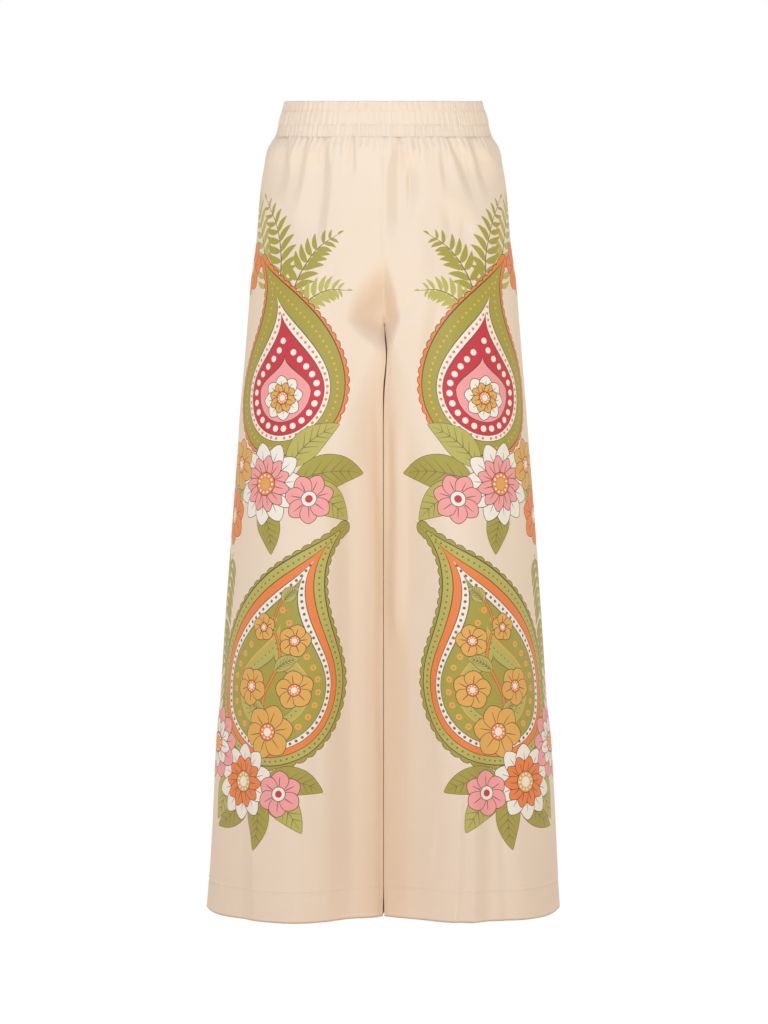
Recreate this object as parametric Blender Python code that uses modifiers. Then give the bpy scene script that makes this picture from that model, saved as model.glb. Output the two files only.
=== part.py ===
"""Palazzo pants in thin silk: four leg panels under a gathered elastic waistband.

Metres, +Z up. The front faces -Y, so the wearer's left leg is at +X. The origin
is the middle of the waist opening, halfway up the waistband. Each leg panel is one
cut of cloth, held here as three solids, one below the other.
"""

import math
from collections import namedtuple

import bpy

# Cloth and sewing allowances.
WALL = 0.0012  # thickness of one layer of cloth
BAND_WALL = 0.003  # the folded strip with its elastic
SEAM_GAP = 0.0003  # between neighbouring pieces
LEG_GAP = 0.0018  # between the two legs, where they hang side by side

# Waistband.
BAND_TOP = 0.0225
BAND_BOTTOM = -0.0225
CHANNEL_PUFF = 0.0012  # how far each channel stands out between its stitch rows
BAND_GATHER = 0.0009

# Rise and legs.
WAIST_SEAM = BAND_BOTTOM - SEAM_GAP
FRONT_FORK = -0.262  # where the legs part at the front
BACK_FORK = -0.272
CROTCH = -0.300  # where the four panels meet between the legs
HEM = -1.044
HEM_TURNED_UP = 0.042

# Columns of cloth across one panel, from the side seam to its inner edge.
FINE = 44  # where it is gathered, two to a gather
COARSE = 22
CROTCH_STEPS = 3  # rows down the crotch curve, each reaching further under
ADDED = 2  # columns that each of those rows adds at the inner edge

# How the body of the garment goes round at each height.
Section = namedtuple(
    "Section",
    "height half_width front_depth back_depth fullness centre corner_in corner_deep",
)
# fullness: how the panel rounds off towards the side seam. 2 is an ellipse, more is
# boxier, less comes to a sharper edge.
# centre: how far out the panel's fullest point lies, as a share of the half width.
# corner_in, corner_deep: how the leg rounds off towards the other leg.
SECTIONS = (
    Section(0.0225, 0.1310, 0.0900, 0.0950, 2.25, 0.00, 0.000, 0.000),
    Section(0.0000, 0.1360, 0.0930, 0.0980, 2.25, 0.00, 0.000, 0.000),
    Section(-0.0225, 0.1405, 0.0965, 0.1010, 2.25, 0.00, 0.000, 0.000),
    Section(-0.0395, 0.1505, 0.1020, 0.1080, 2.22, 0.00, 0.000, 0.000),
    Section(-0.0610, 0.1560, 0.1055, 0.1140, 2.20, 0.00, 0.000, 0.000),
    Section(-0.0920, 0.1610, 0.1090, 0.1210, 2.18, 0.02, 0.000, 0.000),
    Section(-0.1660, 0.1675, 0.1130, 0.1290, 2.14, 0.10, 0.000, 0.000),
    Section(-0.2085, 0.1735, 0.1145, 0.1300, 2.10, 0.18, 0.000, 0.000),
    Section(-0.2620, 0.1780, 0.1155, 0.1290, 2.06, 0.28, 0.002, 0.002),
    Section(-0.3060, 0.1815, 0.1160, 0.1275, 2.02, 0.36, 0.022, 0.018),
    Section(-0.3850, 0.1880, 0.1175, 0.1260, 1.96, 0.44, 0.044, 0.036),
    Section(-0.4650, 0.1940, 0.1200, 0.1260, 1.90, 0.50, 0.066, 0.050),
    Section(-0.6230, 0.2060, 0.1245, 0.1285, 1.82, 0.50, 0.088, 0.062),
    Section(-0.7810, 0.2165, 0.1290, 0.1315, 1.75, 0.50, 0.100, 0.067),
    Section(-0.9400, 0.2265, 0.1330, 0.1345, 1.68, 0.50, 0.110, 0.070),
    Section(-1.0600, 0.2335, 0.1355, 0.1365, 1.65, 0.50, 0.114, 0.071),
)
CORNER_FULLNESS = 1.6  # how the inner corner curves; 2 would be a parabola

# Heights of the rows of cloth. Those down the crotch curve are worked out.
Row = namedtuple("Row", "height gather")
FINE_ROWS = (
    Row(WAIST_SEAM, 0.0009),
    Row(-0.0340, 0.0014),
    Row(-0.0500, 0.0011),
)
HIP_HEIGHTS = (-0.072, -0.100, -0.138, -0.182, -0.226)
LEG_HEIGHTS = (-0.365, -0.420, -0.490, -0.570, -0.755, -0.850, -0.935)

# The solids of one leg panel, and the height where each begins.
Stretch = namedtuple("Stretch", "ending top")
STRETCHES = (
    Stretch("upper", WAIST_SEAM),
    Stretch("middle", -0.325),
    Stretch("lower", -0.660),
)

# Folds and creases. x is measured from the centre front (or back) seam, with the
# wearer's left positive. depth is how far the cloth stands out, negative for a trough.
# bow is how far its middle swings out sideways from the straight line.
Fold = namedtuple("Fold", "top_x top_z foot_x foot_z bow width depth")
FRONT_FOLDS = (
    # soft gathers that fall from the waistband, wearer's left
    Fold(0.0800, -0.024, 0.1160, -0.125, 0.002, 0.009, -0.0050),
    Fold(0.0950, -0.026, 0.1270, -0.112, 0.002, 0.009, 0.0050),
    Fold(0.1140, -0.024, 0.1420, -0.122, 0.000, 0.009, -0.0050),
    Fold(0.0720, -0.030, 0.0825, -0.096, 0.000, 0.008, -0.0022),
    Fold(0.0850, -0.100, 0.0900, -0.190, 0.000, 0.010, -0.0028),
    Fold(0.0330, -0.045, 0.0305, -0.110, 0.000, 0.009, -0.0020),
    Fold(0.1290, -0.110, 0.1290, -0.175, 0.000, 0.013, 0.0030),
    # and wearer's right
    Fold(-0.1255, -0.024, -0.1310, -0.095, 0.000, 0.009, -0.0040),
    Fold(-0.1110, -0.024, -0.1290, -0.105, 0.000, 0.009, 0.0045),
    Fold(-0.1010, -0.026, -0.1230, -0.122, 0.000, 0.009, -0.0045),
    Fold(-0.0850, -0.030, -0.1030, -0.165, 0.000, 0.014, 0.0035),
    Fold(-0.0700, -0.024, -0.0840, -0.162, -0.003, 0.009, -0.0038),
    Fold(-0.0370, -0.024, -0.0380, -0.082, 0.000, 0.008, -0.0020),
    # beside the centre-front seam, and the drag into the crotch
    Fold(0.0150, -0.030, 0.0100, -0.270, 0.000, 0.010, -0.0028),
    Fold(-0.0060, -0.205, -0.0420, -0.262, 0.000, 0.014, -0.0055),
    Fold(0.0500, -0.215, 0.0080, -0.285, 0.000, 0.013, -0.0030),
    Fold(0.0750, -0.220, 0.0520, -0.300, 0.000, 0.011, -0.0030),
    Fold(-0.0710, -0.190, -0.0660, -0.290, 0.000, 0.009, -0.0022),
    # long folds down the wearer's right leg
    Fold(-0.1790, -0.800, -0.1790, -1.120, 0.000, 0.012, -0.0050),
    Fold(-0.1180, -0.560, -0.1120, -1.120, 0.000, 0.042, 0.0030),
    Fold(-0.0360, -0.440, -0.0340, -1.120, 0.000, 0.014, -0.0050),
    Fold(-0.0640, -0.400, -0.0620, -0.640, 0.000, 0.012, 0.0030),
    # long folds down the wearer's left leg
    Fold(0.0190, -0.360, 0.0200, -0.700, 0.000, 0.010, 0.0040),
    Fold(0.0520, -0.420, 0.0480, -1.120, 0.000, 0.016, -0.0035),
    Fold(0.1300, -0.500, 0.1280, -1.120, 0.000, 0.036, 0.0025),
    Fold(0.1120, -0.840, 0.0960, -1.110, 0.000, 0.012, -0.0050),
    Fold(0.1500, -0.880, 0.1680, -1.110, 0.000, 0.012, -0.0040),
    Fold(0.1560, -0.180, 0.1640, -0.600, 0.000, 0.010, -0.0020),
)
BACK_FOLDS = (
    Fold(0.0900, -0.024, 0.1120, -0.150, 0.002, 0.010, 0.0050),
    Fold(0.0600, -0.024, 0.0740, -0.130, 0.000, 0.010, -0.0035),
    Fold(0.0280, -0.024, 0.0330, -0.110, 0.000, 0.009, 0.0030),
    Fold(0.1130, -0.024, 0.1380, -0.125, 0.000, 0.009, -0.0045),
    Fold(-0.0960, -0.024, -0.1230, -0.160, -0.002, 0.010, 0.0050),
    Fold(-0.0760, -0.024, -0.0930, -0.135, 0.000, 0.009, -0.0040),
    Fold(-0.0540, -0.024, -0.0640, -0.120, 0.000, 0.009, 0.0030),
    Fold(-0.1180, -0.024, -0.1400, -0.120, 0.000, 0.009, -0.0040),
    Fold(-0.0120, -0.035, -0.0090, -0.250, 0.000, 0.010, -0.0030),
    Fold(0.0800, -0.235, 0.0080, -0.295, 0.000, 0.016, -0.0040),
    Fold(-0.0720, -0.225, -0.0080, -0.295, 0.000, 0.016, -0.0035),
    Fold(0.1850, -0.640, 0.1880, -1.120, 0.000, 0.014, -0.0055),
    Fold(0.1180, -0.480, 0.1200, -1.120, 0.000, 0.040, 0.0035),
    Fold(0.0480, -0.450, 0.0450, -1.120, 0.000, 0.015, -0.0050),
    Fold(-0.1700, -0.760, -0.1820, -1.120, 0.000, 0.014, -0.0050),
    Fold(-0.1300, -0.430, -0.1260, -1.120, 0.000, 0.040, 0.0030),
    Fold(-0.0850, -0.700, -0.0740, -1.120, 0.000, 0.013, -0.0045),
    Fold(-0.0420, -0.500, -0.0400, -1.120, 0.000, 0.015, -0.0045),
)
FOLD_EASE = 0.035  # how gradually a fold starts and ends, along its length
SEAM_CALM = 0.022  # folds flatten out this near a seam

# One plain cream for each piece of cloth, told apart a little.
Cloth = namedtuple("Cloth", "piece red green blue")
CLOTHS = (
    Cloth("waistband", 0.86, 0.74, 0.60),
    Cloth("leg_front_left", 0.90, 0.79, 0.66),
    Cloth("leg_front_right", 0.88, 0.77, 0.64),
    Cloth("leg_back_left", 0.84, 0.73, 0.61),
    Cloth("leg_back_right", 0.82, 0.71, 0.59),
)


def eased(share):
    """0 up to 0, 1 from 1, and a smooth step between."""
    share = min(1.0, max(0.0, share))
    return share * share * (3 - 2 * share)


def section_at(height):
    """The section's sizes at a height, on a smooth curve through the table."""
    low = len(SECTIONS) - 2
    for i in range(len(SECTIONS) - 1):
        if height >= SECTIONS[i + 1].height:
            low = i
            break
    a = SECTIONS[low]
    b = SECTIONS[low + 1]
    before = SECTIONS[max(low - 1, 0)]
    after = SECTIONS[min(low + 2, len(SECTIONS) - 1)]
    run = b.height - a.height
    t = min(1.0, max(0.0, (height - a.height) / run))
    sizes = [height]
    for k in range(1, len(a)):
        slope_a = (b[k] - before[k]) / (b.height - before.height) * run
        slope_b = (after[k] - a[k]) / (after.height - a.height) * run
        value = (
            (2 * t**3 - 3 * t**2 + 1) * a[k]
            + (t**3 - 2 * t**2 + t) * slope_a
            + (3 * t**2 - 2 * t**3) * b[k]
            + (t**3 - t**2) * slope_b
        )
        sizes.append(value)
    return Section(*sizes)


def inner_x(height):
    """Half the space between the left and right pieces."""
    parted = eased((CROTCH - height) / 0.08)
    return (SEAM_GAP + (LEG_GAP - SEAM_GAP) * parted) / 2


def crotch_depth(height, depth, fork):
    """How far in front of (or behind) the inseam the panel's inner edge lies."""
    if height >= fork:
        return depth
    if height <= CROTCH:
        return SEAM_GAP / 2
    fallen = (fork - height) / (fork - CROTCH)
    return max(SEAM_GAP / 2, depth * math.sqrt(1 - fallen * fallen))


def panel_outline(height, back):
    """The panel's line round at this height, as points (x, depth).

    The first list runs from the side seam to where the leg turns in towards the other
    leg, the second from there to the panel's inner edge.
    """
    cut = section_at(height)
    depth = cut.back_depth if back else cut.front_depth
    inner = inner_x(height)
    edge = crotch_depth(height, depth, BACK_FORK if back else FRONT_FORK)
    deep = min(max(0.0, cut.corner_deep), depth - edge)
    across = min(max(0.0, cut.corner_in), 1.7 * deep)
    middle = max(cut.centre * cut.half_width, inner + across)
    reach = cut.half_width - middle
    power = 2 / cut.fullness
    front = []
    for i in range(33):
        turn = math.pi / 2 * i / 32
        x = middle + reach * math.cos(turn) ** power
        front.append((x, max(depth * math.sin(turn) ** power, SEAM_GAP / 2)))
    middle_in = inner + across
    for i in range(1, 9):
        front.append((middle - (middle - middle_in) * i / 8, depth))
    for i in range(1, 13):
        gone = i / 16
        front.append((middle_in - across * gone, depth - deep * gone**CORNER_FULLNESS))
    under = [front[-1]]
    for i in range(13, 17):
        gone = i / 16
        under.append((middle_in - across * gone, depth - deep * gone**CORNER_FULLNESS))
    for i in range(1, 9):
        under.append((inner, depth - deep - (depth - deep - edge) * i / 8))
    return front, under


def along(points, shares):
    """(x, depth, outward x, outward depth, distance, length) at shares of its length."""
    reached = [0.0]
    for a, b in zip(points, points[1:]):
        reached.append(reached[-1] + math.dist(a, b))
    length = reached[-1]
    found = []
    i = 0
    for share in shares:
        target = share * length
        while i < len(points) - 2 and reached[i + 1] < target:
            i += 1
        step = max(reached[i + 1] - reached[i], 1e-9)
        t = min(1.0, max(0.0, (target - reached[i]) / step))
        ahead = points[min(i + 2, len(points) - 1)]
        behind = points[max(i - 1, 0)]
        run_x = ahead[0] - behind[0]
        run_y = ahead[1] - behind[1]
        size = math.hypot(run_x, run_y)
        x = points[i][0] + (points[i + 1][0] - points[i][0]) * t
        y = points[i][1] + (points[i + 1][1] - points[i][1]) * t
        found.append((x, y, run_y / size, -run_x / size, target, length))
    return found


def fold_depth(folds, x, height):
    """How far the cloth stands out here, all its folds together."""
    total = 0.0
    for fold in folds:
        down = (fold.top_z - height) / (fold.top_z - fold.foot_z)
        if not 0 < down < 1:
            continue
        middle = fold.top_x + (fold.foot_x - fold.top_x) * down
        middle += fold.bow * math.sin(math.pi * down)
        away = (x - middle) / fold.width
        if abs(away) > 3:
            continue
        length = fold.top_z - fold.foot_z
        starts = eased(down * length / FOLD_EASE)
        ends = eased((1 - down) * length / FOLD_EASE)
        total += fold.depth * math.exp(-away * away) * starts * ends
    return total


def uneven(count, seed):
    """A number from 0.55 to 1.45 for each gather, no two neighbours alike."""
    wave = math.sin(count * 2.39 + seed) * 0.28 + math.sin(count * 5.1 + seed * 2) * 0.17
    return 1 + wave


def panel_row(height, side, back, columns, added, gather):
    """One row of points across a panel, from its side seam to its inner edge."""
    folds = BACK_FOLDS if back else FRONT_FOLDS
    front, under = panel_outline(height, back)
    placed = along(front, [j / columns for j in range(columns + 1)])
    if added:
        placed += along(under, [j / added for j in range(1, added + 1)])
    row = []
    for j, (x, y, out_x, out_y, reached, length) in enumerate(placed):
        if j <= columns:
            out = fold_depth(folds, side * x, height) * eased(reached / SEAM_CALM)
        else:
            out = row_out * (1 - (j - columns) / added)
        row_out = out
        if gather and 0 < j < columns:
            lift = 1 if j % 2 else -1
            out += gather * lift * uneven(j, 1 + side + 3 * back)
        x = max(x + out_x * out, inner_x(height))
        y = max(y + out_y * out, SEAM_GAP / 2)
        row.append((side * x, y if back else -y, height))
    return row


def hem_rows(height, side, back):
    """The two rows of the hem's fold: round the bottom and up inside the leg."""
    step_in = 2 * WALL + SEAM_GAP
    rows = []
    for at in (height, height + HEM_TURNED_UP):
        half_width = section_at(at).half_width
        row = panel_row(at, side, back, COARSE, CROTCH_STEPS * ADDED, 0)
        middle = (0.5 * half_width, 0.0)
        inside = []
        for j, (x, y, z) in enumerate(row):
            before = row[max(j - 1, 0)]
            after = row[min(j + 1, len(row) - 1)]
            run_x = after[0] - before[0]
            run_y = after[1] - before[1]
            size = math.hypot(run_x, run_y)
            in_x = run_y / size
            in_y = -run_x / size
            if in_x * (side * middle[0] - x) + in_y * (middle[1] - y) < 0:
                in_x, in_y = -in_x, -in_y
            if j in (0, len(row) - 1):
                in_x, in_y = (-side if j == 0 else side), 0.0
            inside.append((x + in_x * step_in, y + in_y * step_in, z))
        rows.append(inside)
    return rows


def faces_between(upper, lower):
    """Faces joining two rows of vertex numbers.

    The lower row may be half as fine, or reach further at its inner edge.
    """
    faces = []
    if len(upper) == 2 * len(lower) - 1:
        for j in range(len(lower) - 1):
            a, b, c = upper[2 * j], upper[2 * j + 1], upper[2 * j + 2]
            faces.append((a, b, lower[j]))
            faces.append((b, lower[j + 1], lower[j]))
            faces.append((b, c, lower[j + 1]))
        return faces
    for j in range(len(upper) - 1):
        faces.append((upper[j], upper[j + 1], lower[j + 1], lower[j]))
    for j in range(len(upper) - 1, len(lower) - 1):
        faces.append((upper[-1], lower[j + 1], lower[j]))
    return faces


def silk(cloth):
    material = bpy.data.materials.new(cloth.piece + "_silk")
    material.use_nodes = True
    shader = material.node_tree.nodes["Principled BSDF"]
    shader.inputs["Base Color"].default_value = (cloth.red, cloth.green, cloth.blue, 1)
    shader.inputs["Roughness"].default_value = 0.42
    shader.inputs["Metallic"].default_value = 0.0
    return material


def add_piece(name, rows, closed, wall, turned, material):
    """A sheet through these rows, given its thickness inwards."""
    points = []
    faces = []
    numbers = []
    for row in rows:
        numbers.append([len(points) + j for j in range(len(row))])
        points.extend(row)
        if closed:
            numbers[-1].append(numbers[-1][0])
    for upper, lower in zip(numbers, numbers[1:]):
        faces.extend(faces_between(upper, lower))
    if turned:
        faces = [tuple(reversed(face)) for face in faces]
    mesh = bpy.data.meshes.new(name)
    mesh.from_pydata(points, [], faces)
    mesh.update()
    piece = bpy.data.objects.new(name, mesh)
    pants.objects.link(piece)
    thick = piece.modifiers.new("cloth", "SOLIDIFY")
    thick.thickness = wall
    thick.offset = -1
    thick.use_even_offset = True
    thick.use_rim = True
    mesh.materials.append(material)


def add_leg_panel(name, side, back):
    """A leg panel from the waist seam to the hem, with its hem turned up inside."""
    plan = [(row.height, FINE, 0, row.gather) for row in FINE_ROWS]
    fork = BACK_FORK if back else FRONT_FORK
    plan += [(height, COARSE, 0, 0) for height in HIP_HEIGHTS + (fork,)]
    for step in range(1, CROTCH_STEPS + 1):
        turn = math.pi / 2 * step / CROTCH_STEPS
        plan.append((fork - (fork - CROTCH) * math.sin(turn), COARSE, step * ADDED, 0))
    widest = CROTCH_STEPS * ADDED
    for height in LEG_HEIGHTS + (HEM + HEM_TURNED_UP, HEM):
        plan.append((height, COARSE, widest, 0))
    for stretch, following in zip(STRETCHES, STRETCHES[1:] + (None,)):
        top = stretch.top
        foot = following.top if following else HEM
        rows = []
        if stretch != STRETCHES[0]:
            rows.append(panel_row(top - SEAM_GAP / 2, side, back, COARSE, widest, 0))
        for height, columns, added, gather in plan:
            if foot <= height <= top:
                rows.append(panel_row(height, side, back, columns, added, gather))
        if following:
            rows.append(panel_row(foot + SEAM_GAP / 2, side, back, COARSE, widest, 0))
        else:
            rows += hem_rows(HEM, side, back)
        solid = name + "_" + stretch.ending
        add_piece(solid, rows, False, WALL, (side > 0) == back, cloths[name])


def add_waistband():
    """The gathered strip: three channels that puff out between its stitch rows."""
    tall = BAND_TOP - BAND_BOTTOM
    lines = (
        (BAND_TOP, 0.0),
        (BAND_TOP - 0.145 * tall, 1.0),
        (BAND_TOP - 0.29 * tall, 0.0),
        (BAND_TOP - 0.49 * tall, 1.0),
        (BAND_TOP - 0.69 * tall, 0.0),
        (BAND_TOP - 0.85 * tall, 1.0),
        (BAND_BOTTOM, 0.2),
    )
    rows = []
    for line, (height, puff) in enumerate(lines):
        row = []
        for side, back in ((1, False), (1, True), (-1, True), (-1, False)):
            front, _ = panel_outline(height, back)
            placed = along(front, [j / FINE for j in range(FINE + 1)])
            quarter = []
            for j, (x, y, out_x, out_y, _, _) in enumerate(placed):
                lift = 1 if j % 2 else -1
                deep = BAND_GATHER * (0.7 + 0.5 * puff)
                out = CHANNEL_PUFF * puff + deep * lift * uneven(j + line, 2 + side)
                x += out_x * out
                y += out_y * out
                quarter.append((side * x, y if back else -y, height))
            if side == (1 if back else -1):
                quarter = quarter[:-1]
            else:
                quarter = quarter[:0:-1]
            row.extend(quarter)
        rows.append(row)
    add_piece("waistband", rows, True, BAND_WALL, True, cloths["waistband"])


for leftover in list(bpy.data.objects):
    bpy.data.objects.remove(leftover)
pants = bpy.data.collections.new("palazzo_pants")
bpy.context.scene.collection.children.link(pants)
cloths = {cloth.piece: silk(cloth) for cloth in CLOTHS}

add_waistband()
add_leg_panel("leg_front_left", 1, False)
add_leg_panel("leg_front_right", -1, False)
add_leg_panel("leg_back_left", 1, True)
add_leg_panel("leg_back_right", -1, True)
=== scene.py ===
import math
import random

import bpy
import numpy as np
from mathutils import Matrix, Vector
from mathutils.geometry import delaunay_2d_cdt


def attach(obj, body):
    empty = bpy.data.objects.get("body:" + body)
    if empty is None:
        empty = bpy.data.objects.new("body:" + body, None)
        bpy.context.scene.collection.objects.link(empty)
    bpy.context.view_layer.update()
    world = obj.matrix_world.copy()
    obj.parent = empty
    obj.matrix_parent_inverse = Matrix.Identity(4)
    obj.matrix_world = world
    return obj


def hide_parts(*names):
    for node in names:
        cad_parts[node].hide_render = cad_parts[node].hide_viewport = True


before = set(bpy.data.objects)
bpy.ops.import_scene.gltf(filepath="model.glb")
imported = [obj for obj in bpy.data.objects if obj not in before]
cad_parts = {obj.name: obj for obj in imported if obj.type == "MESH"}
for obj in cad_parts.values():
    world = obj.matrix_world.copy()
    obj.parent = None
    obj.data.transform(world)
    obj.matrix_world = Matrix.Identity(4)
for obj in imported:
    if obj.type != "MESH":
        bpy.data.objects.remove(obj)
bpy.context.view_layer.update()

# ---- Leg panels -------------------------------------------------------------
# Two front and two back panels of thin silk, each cut from waist seam to hem in
# one piece and joined at the side seams, the inseams and the centre seams. The
# top edge is gathered into the waistband and the hem is turned up inside.

waist_seam = -0.0225
front_fork = -0.256
back_fork = -0.272
crotch = -0.300
hem = -1.044
hem_turned_up = 0.042
legs_apart = 0.0003
apart_at_crotch = 0.0005
apart_at_hem = 0.0007
corner_softness = 0.45

# height, half width, front depth, back depth, fullness towards the side seam, centre,
# and how far in and how deep the leg rounds off towards the other leg
leg_sections = np.array(
    (
        (0.0225, 0.1285, 0.0900, 0.0950, 2.25, 0.00, 0.000, 0.000),
        (0.0000, 0.1348, 0.0930, 0.0980, 2.25, 0.00, 0.000, 0.000),
        (-0.0225, 0.1405, 0.0965, 0.1010, 2.25, 0.00, 0.000, 0.000),
        (-0.0395, 0.1505, 0.1020, 0.1080, 2.22, 0.00, 0.000, 0.000),
        (-0.0610, 0.1560, 0.1055, 0.1140, 2.20, 0.00, 0.000, 0.000),
        (-0.0920, 0.1610, 0.1090, 0.1210, 2.18, 0.02, 0.000, 0.000),
        (-0.1660, 0.1675, 0.1130, 0.1290, 2.14, 0.10, 0.000, 0.000),
        (-0.2085, 0.1735, 0.1145, 0.1300, 2.10, 0.18, 0.000, 0.000),
        (-0.2620, 0.1780, 0.1155, 0.1290, 2.06, 0.28, 0.002, 0.002),
        (-0.3060, 0.1815, 0.1160, 0.1275, 2.02, 0.36, 0.022, 0.013),
        (-0.3850, 0.1880, 0.1175, 0.1260, 1.96, 0.44, 0.050, 0.030),
        (-0.4650, 0.1940, 0.1200, 0.1260, 1.90, 0.50, 0.074, 0.044),
        (-0.6230, 0.2060, 0.1245, 0.1285, 1.82, 0.50, 0.096, 0.058),
        (-0.7810, 0.2165, 0.1290, 0.1315, 1.75, 0.50, 0.106, 0.063),
        (-0.9400, 0.2265, 0.1330, 0.1345, 1.68, 0.50, 0.114, 0.066),
        (-1.0600, 0.2335, 0.1355, 0.1365, 1.65, 0.50, 0.117, 0.067),
    )
)


def eased(share):
    """From 0 to 1 with a soft start and a soft end."""
    share = np.clip(share, 0.0, 1.0)
    return share * share * (3 - 2 * share)


def hump(away, width):
    """1 in the middle, falling off softly on both sides."""
    return np.exp(-((away / width) ** 2))


def section_sizes(height):
    """The seven sizes at each height, on smooth curves through the sections."""
    rows = leg_sections
    low = np.clip(np.searchsorted(-rows[:, 0], -height) - 1, 0, len(rows) - 2)
    before = rows[np.maximum(low - 1, 0)]
    a = rows[low]
    b = rows[low + 1]
    after = rows[np.minimum(low + 2, len(rows) - 1)]
    run = (b[:, 0] - a[:, 0])[:, None]
    t = np.clip((height - a[:, 0])[:, None] / run, 0, 1)
    slope_a = (b - before) / (b[:, :1] - before[:, :1]) * run
    slope_b = (after - a) / (after[:, :1] - a[:, :1]) * run
    sizes = (
        (2 * t**3 - 3 * t**2 + 1) * a
        + (t**3 - 2 * t**2 + t) * slope_a
        + (3 * t**2 - 2 * t**3) * b
        + (t**3 - t**2) * slope_b
    )
    return sizes[:, 1:]


def leg_parting(height):
    """Half the space between the legs: they part a little at the crotch and at the hem."""
    space = legs_apart + apart_at_crotch * hump(height - crotch + 0.045, 0.032)
    space = space + apart_at_hem * hump(height - hem, 0.022)
    return space * eased((crotch - height) / 0.02)


def panel_outline(height, back):
    """Lines round a panel at these heights, side seam to inner edge, as (x, depth)."""
    half_width, front_depth, back_depth, fullness, centre, corner_in, corner_deep = (
        section_sizes(height).T[:, :, None]
    )
    depth = back_depth if back else front_depth
    inner = leg_parting(height)[:, None]
    fork = back_fork if back else front_fork
    fallen = np.clip((fork - height) / (fork - crotch), 0, 1)[:, None]
    edge = depth * np.sqrt(1 - fallen * fallen)
    deep = np.clip(corner_deep, 0, depth - edge)
    across = np.minimum(np.maximum(corner_in, 0), 1.7 * deep)
    middle = np.maximum(centre * half_width, inner + across)
    turn = np.linspace(0, math.pi / 2, 61)
    part = np.array((0.5, 1.0))
    gone = np.linspace(0, 1, 25)[1:]
    rounding = np.sqrt(gone**2 + corner_softness**2) - corner_softness
    rounding /= math.sqrt(1 + corner_softness**2) - corner_softness
    # round from the side seam, straight on, round the soft corner, back to the edge
    x = (
        middle + (half_width - middle) * np.cos(turn) ** (2 / fullness),
        middle - (middle - inner - across) * part,
        inner + across - across * gone,
        np.repeat(inner, 2, 1),
    )
    y = (
        depth * np.sin(turn) ** (2 / fullness),
        np.repeat(depth, 2, 1),
        depth - deep * rounding,
        depth - deep - (depth - deep - edge) * part,
    )
    return np.stack([np.concatenate(x, 1), np.concatenate(y, 1)], 2)


def along_outline(outline, reach):
    """Points at these distances from the side seam, one for each outline."""
    step = np.linalg.norm(np.diff(outline, axis=1), axis=2)
    far = np.concatenate([np.zeros((len(step), 1)), np.cumsum(step, 1)], 1)
    reach = np.clip(reach, 0, far[:, -1])
    at = np.clip((far[:, 1:] < reach[:, None]).sum(1), 0, step.shape[1] - 1)
    row = np.arange(len(at))
    t = (reach - far[row, at]) / np.maximum(step[row, at], 1e-9)
    a = outline[row, at]
    b = outline[row, at + 1]
    return a + (b - a) * t[:, None]


def along_cloth(outline, reach, length, step):
    """Points at these distances from the side seam, and which way the cloth runs there."""
    run = along_outline(outline, np.minimum(reach + step, length))
    run = run - along_outline(outline, np.maximum(reach - step, 0))
    return along_outline(outline, reach), run / np.linalg.norm(run, axis=1)[:, None]


def outline_length(height, back, edge=True):
    """How far it is along the cloth from the side seam to the panel's inner edge at each
    height, or without the edge that faces the other leg."""
    outline = panel_outline(height, back)
    if not edge:
        outline = outline[:, :-2]
    return np.linalg.norm(np.diff(outline, axis=1), axis=2).sum(1)


# Gathers all round the waist: where each ridge stands, in quarters of the way
# round, how deep it is and how far it runs down. Waistband and legs share them.
gathers = 92
chance = random.Random(7)
gather_at = np.array([4 * (k + chance.uniform(-0.26, 0.26)) / gathers for k in range(gathers)])
gather_deep = np.array([chance.uniform(0.55, 1.3) for k in range(gathers)])
gather_long = np.array([chance.uniform(0.010, 0.040) for k in range(gathers)])


def gather_wave(quarter_way, drift=0.0):
    """Rounded ridges with sharp valleys: height 0 to 1, and each point's gather."""
    edges = (gather_at + np.roll(gather_at, -1)) / 2
    edges[-1] = (gather_at[-1] + gather_at[0] + 4) / 2
    way = np.mod(quarter_way - edges[-1], 4)
    marks = np.mod(edges - edges[-1], 4)
    marks[-1] = 4.0
    k = np.clip(np.searchsorted(marks, way), 0, gathers - 1)
    start = np.where(k > 0, marks[k - 1], 0.0)
    t = (way - start) / (marks[k] - start)
    t = np.clip(t + drift * np.sin(math.pi * t), 0, 1)
    return np.sin(math.pi * t) ** 0.85, k


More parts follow.
